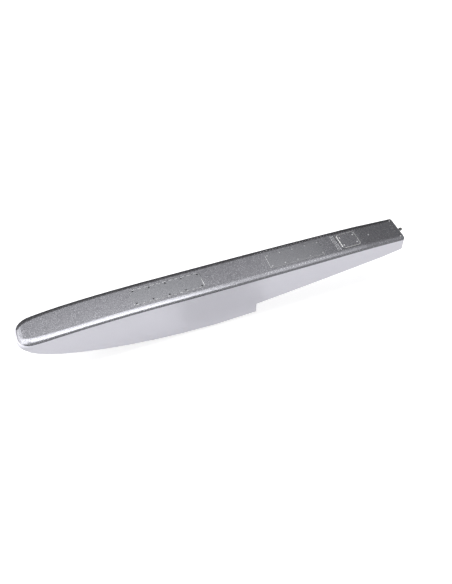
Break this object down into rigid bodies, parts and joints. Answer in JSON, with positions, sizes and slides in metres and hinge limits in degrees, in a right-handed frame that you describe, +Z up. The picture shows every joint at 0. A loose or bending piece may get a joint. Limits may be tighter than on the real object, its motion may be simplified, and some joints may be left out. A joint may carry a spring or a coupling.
{
  "type": "model seaplane float",
  "caption": "Stepped float for a model seaplane: moulded hull and rolled-edge deck, let-in strut plates, small hatch and a rudder gudgeon.",
  "frame": {"origin": "under the middle of the float's overall length, at the keel's lowest point", "axes": "+X from bow to stern, +Z up, port side at -Y"},
  "size_m": [1.0816, 0.1008, 0.1429],
  "materials": {
    "moulding": "semi-gloss grey moulding",
    "deck_moulding": "satin graphite moulding",
    "plate": "dark satin",
    "gasket": "matt",
    "plywood": "bare plywood",
    "spruce": "bare hardwood",
    "brass": "bare",
    "steel": "bright",
    "gudgeon": "dark"
  },
  "bodies": {
    "root": {"hull_shell": "moulding", "deck_shell": "deck_moulding", "front_mount_plate": "plate", "rear_mount_plate": "plate", "hatch_cover": "plate", "hatch_gasket": "gasket", "former_bow": "plywood", "former_front_fore": "plywood", "former_front_aft": "plywood", "former_step": "plywood", "former_rear": "plywood", "former_aft": "plywood", "hatch_frame": "plywood", "keelson": "spruce", "deck_beam": "spruce", "transom_block": "spruce", "front_rail_port": "spruce", "front_rail_starboard": "spruce", "rear_rail_port": "spruce", "rear_rail_starboard": "spruce", "front_inserts": "brass", "rear_plate_screws": "steel", "hatch_screws": "steel", "deck_screws": "steel", "gudgeon_screws": "steel", "rudder_gudgeon": "gudgeon"}
  },
  "joints": []
}
